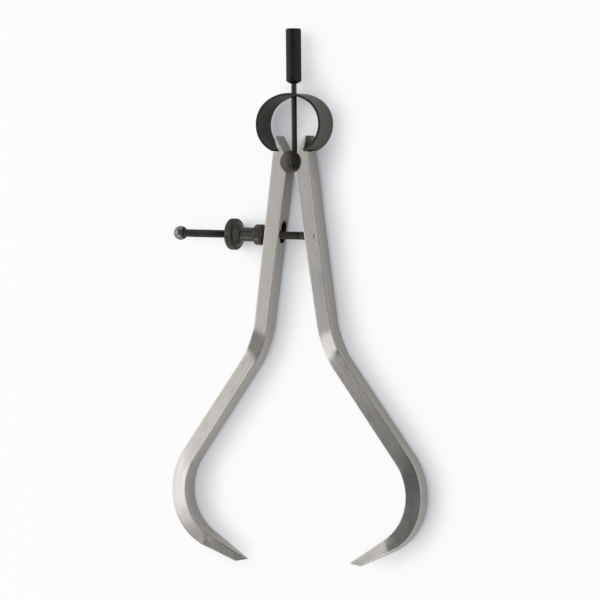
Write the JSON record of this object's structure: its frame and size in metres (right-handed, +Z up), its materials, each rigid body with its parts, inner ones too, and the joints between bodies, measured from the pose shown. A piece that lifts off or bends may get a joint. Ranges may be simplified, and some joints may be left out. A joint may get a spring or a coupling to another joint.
{
  "type": "outside caliper",
  "caption": "Spring-bow outside caliper with two curved steel legs, a fulcrum stud, a handle and an adjusting screw with a knurled nut.",
  "frame": {"origin": "middle of the footprint of the tool as it lies on its back, on the surface under it", "axes": "+Y from the leg tips to the handle, +X to the right leg as seen from the front, +Z up, out of the front of the tool"},
  "size_m": [0.103, 0.1976, 0.0117],
  "materials": {
    "satin_steel": "ground lengthwise, satin",
    "black_spring_steel": "black oxide, rolled strip",
    "black_steel": "black oxide, turned",
    "bright_steel": "polished"
  },
  "bodies": {
    "head": {"fulcrum_stud": "black_steel", "handle_stem": "black_steel", "handle_grip": "black_steel", "bow_spring": "black_spring_steel"},
    "left_side": {"left_leg": "satin_steel"},
    "right_side": {"right_leg": "satin_steel", "screw_pivot_pin": "black_steel"},
    "screw": {"adjusting_screw": "black_steel", "end_stop": "bright_steel"},
    "collar": {"thrust_collar": "black_steel"},
    "nut": {"adjusting_nut": "black_steel"}
  },
  "joints": [
    {"name": "left_leg_swing", "type": "hinge", "parent": "head", "child": "left_side", "pos_m": [0, 0.04965, 0.00585], "axis": [0, 0, -1], "range_deg": [-8.1, 19], "deforming": ["bow_spring"]},
    {"name": "right_leg_swing", "type": "hinge", "parent": "head", "child": "right_side", "pos_m": [0, 0.04965, 0.00585], "axis": [0, 0, 1], "range_deg": [-8.1, 19], "deforming": ["bow_spring"]},
    {"name": "screw_swivel", "type": "hinge", "parent": "right_side", "child": "screw", "pos_m": [0.0088, 0.02225, 0.00585], "axis": [0, 0, -1], "range_deg": [-8.1, 19]},
    {"name": "collar_travel", "type": "slide", "parent": "screw", "child": "collar", "axis": [-0.9996, 0.0282, 0], "range_m": [-0.0077, 0.018]},
    {"name": "nut_spin", "type": "hinge", "parent": "collar", "child": "nut", "pos_m": [-0.01953, 0.02305, 0.00585], "axis": [-0.9996, 0.0282, 0], "continuous": true}
  ],
  "couplings": [
    {"joint": "right_leg_swing", "follows": "left_leg_swing", "ratio": 1},
    {"joint": "screw_swivel", "follows": "left_leg_swing", "ratio": 1},
    {"joint": "collar_travel", "follows": "left_leg_swing", "m_per_rad": 0.054}
  ]
}
